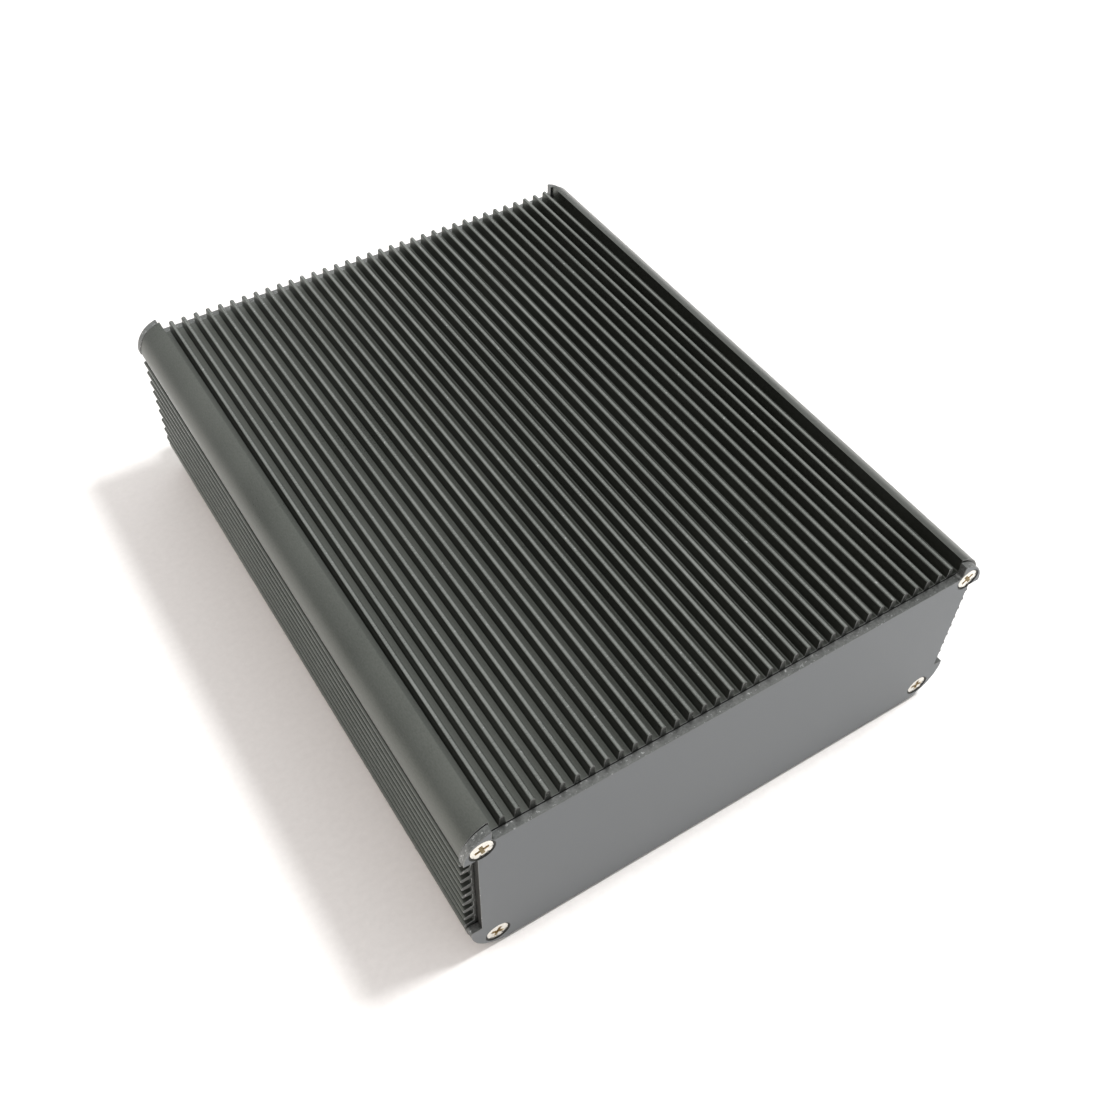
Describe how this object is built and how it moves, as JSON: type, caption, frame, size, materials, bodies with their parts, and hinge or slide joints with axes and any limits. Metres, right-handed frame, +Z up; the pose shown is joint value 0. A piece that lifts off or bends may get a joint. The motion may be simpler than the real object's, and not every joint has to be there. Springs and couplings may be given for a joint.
{
  "type": "servo drive",
  "caption": "Servo drive in a black finned aluminium case with plain end plate, countersunk corner screws, stacked boards and rear connectors.",
  "frame": {"origin": "middle of the flat underside", "axes": "+X across the fins, -Y out of the plain front end, +Y out of the connector end, +Z up through the fins"},
  "size_m": [0.1431, 0.1901, 0.054],
  "materials": {
    "case_anodised": "fine satin black anodise",
    "plate_anodised": "satin dark grey anodise, bright nicked edges",
    "screw_nickel": "nickel plate, yellowish recess",
    "laminate": "satin solder mask",
    "brass": "bright turned",
    "black_plastic": "moulded, fine grain",
    "mould_compound": "moulded epoxy",
    "terminal_green": "moulded polyamide",
    "bare_aluminium": "milled",
    "tinned_steel": "tin plate",
    "can_sleeve": "shrink sleeve",
    "ferrite": "sintered",
    "enamelled_copper": "enamelled wire",
    "cement": "rough cement",
    "gap_pad": "soft silicone",
    "fuse_amber": "translucent moulding",
    "switch_blue": "moulded",
    "lever_white": "moulded",
    "lens_green": "diffused lens",
    "lens_red": "diffused lens"
  },
  "bodies": {
    "case": {"upper_shell": "case_anodised", "lower_shell": "case_anodised", "power_board": "laminate", "control_board": "laminate", "standoff_1": "brass", "standoff_2": "brass", "standoff_3": "brass", "standoff_4": "brass", "board_screw_1": "screw_nickel", "board_screw_2": "screw_nickel", "board_screw_3": "screw_nickel", "board_screw_4": "screw_nickel", "board_header": "black_plastic", "mosfet_1": "mould_compound", "mosfet_2": "mould_compound", "mosfet_3": "mould_compound", "mosfet_4": "mould_compound", "mosfet_5": "mould_compound", "mosfet_6": "mould_compound", "heat_bar": "bare_aluminium", "thermal_pad": "gap_pad", "clamp_bar": "bare_aluminium", "clamp_screw_1": "screw_nickel", "clamp_screw_2": "screw_nickel", "clamp_screw_3": "screw_nickel", "bus_capacitor_1": "can_sleeve", "bus_capacitor_2": "can_sleeve", "bus_capacitor_3": "can_sleeve", "choke_core": "ferrite", "choke_winding_1": "enamelled_copper", "choke_winding_2": "enamelled_copper", "brake_resistor": "cement", "fuse_holder": "black_plastic", "control_chip": "mould_compound", "power_header": "terminal_green", "motor_header": "terminal_green", "encoder_socket": "tinned_steel", "io_socket": "tinned_steel", "dip_switch": "switch_blue", "power_led": "lens_green", "fault_led": "lens_red"},
    "front_plate": {"front_end_plate": "plate_anodised"},
    "rear_plate": {"rear_end_plate": "plate_anodised"},
    "power_plug": {"power_plug": "terminal_green"},
    "motor_plug": {"motor_plug": "terminal_green"},
    "fuse": {"fuse": "fuse_amber"},
    "front_screw_1": {"front_screw_1": "screw_nickel"},
    "front_screw_2": {"front_screw_2": "screw_nickel"},
    "front_screw_3": {"front_screw_3": "screw_nickel"},
    "front_screw_4": {"front_screw_4": "screw_nickel"},
    "rear_screw_1": {"rear_screw_1": "screw_nickel"},
    "rear_screw_2": {"rear_screw_2": "screw_nickel"},
    "rear_screw_3": {"rear_screw_3": "screw_nickel"},
    "rear_screw_4": {"rear_screw_4": "screw_nickel"},
    "dip_lever_1": {"dip_lever_1": "lever_white"},
    "dip_lever_2": {"dip_lever_2": "lever_white"},
    "dip_lever_3": {"dip_lever_3": "lever_white"},
    "dip_lever_4": {"dip_lever_4": "lever_white"}
  },
  "joints": [
    {"name": "front_plate_slide", "type": "slide", "parent": "case", "child": "front_plate", "axis": [0, -1, 0], "range_m": [0, 0.06]},
    {"name": "rear_plate_slide", "type": "slide", "parent": "case", "child": "rear_plate", "axis": [0, 1, 0], "range_m": [0, 0.06]},
    {"name": "power_plug_pull", "type": "slide", "parent": "case", "child": "power_plug", "axis": [0, 1, 0], "range_m": [0, 0.014]},
    {"name": "motor_plug_pull", "type": "slide", "parent": "case", "child": "motor_plug", "axis": [0, 1, 0], "range_m": [0, 0.014]},
    {"name": "fuse_pull", "type": "slide", "parent": "case", "child": "fuse", "axis": [0, 0, 1], "range_m": [0, 0.012]},
    {"name": "front_screw_1_turn", "type": "hinge", "parent": "front_plate", "child": "front_screw_1", "pos_m": [-0.0671, -0.0915, 0.0481], "axis": [0, -1, 0], "continuous": true},
    {"name": "front_screw_2_turn", "type": "hinge", "parent": "front_plate", "child": "front_screw_2", "pos_m": [0.0661, -0.0915, 0.0481], "axis": [0, -1, 0], "continuous": true},
    {"name": "front_screw_3_turn", "type": "hinge", "parent": "front_plate", "child": "front_screw_3", "pos_m": [-0.0643, -0.0915, 0.006], "axis": [0, -1, 0], "continuous": true},
    {"name": "front_screw_4_turn", "type": "hinge", "parent": "front_plate", "child": "front_screw_4", "pos_m": [0.0633, -0.0915, 0.006], "axis": [0, -1, 0], "continuous": true},
    {"name": "rear_screw_1_turn", "type": "hinge", "parent": "rear_plate", "child": "rear_screw_1", "pos_m": [-0.0671, 0.0915, 0.0481], "axis": [0, 1, 0], "continuous": true},
    {"name": "rear_screw_2_turn", "type": "hinge", "parent": "rear_plate", "child": "rear_screw_2", "pos_m": [0.0661, 0.0915, 0.0481], "axis": [0, 1, 0], "continuous": true},
    {"name": "rear_screw_3_turn", "type": "hinge", "parent": "rear_plate", "child": "rear_screw_3", "pos_m": [-0.0643, 0.0915, 0.006], "axis": [0, 1, 0], "continuous": true},
    {"name": "rear_screw_4_turn", "type": "hinge", "parent": "rear_plate", "child": "rear_screw_4", "pos_m": [0.0633, 0.0915, 0.006], "axis": [0, 1, 0], "continuous": true},
    {"name": "dip_lever_1_slide", "type": "slide", "parent": "case", "child": "dip_lever_1", "axis": [0, 0, 1], "range_m": [0, 0.0018]},
    {"name": "dip_lever_2_slide", "type": "slide", "parent": "case", "child": "dip_lever_2", "axis": [0, 0, 1], "range_m": [0, 0.0018]},
    {"name": "dip_lever_3_slide", "type": "slide", "parent": "case", "child": "dip_lever_3", "axis": [0, 0, 1], "range_m": [0, 0.0018]},
    {"name": "dip_lever_4_slide", "type": "slide", "parent": "case", "child": "dip_lever_4", "axis": [0, 0, 1], "range_m": [0, 0.0018]}
  ]
}
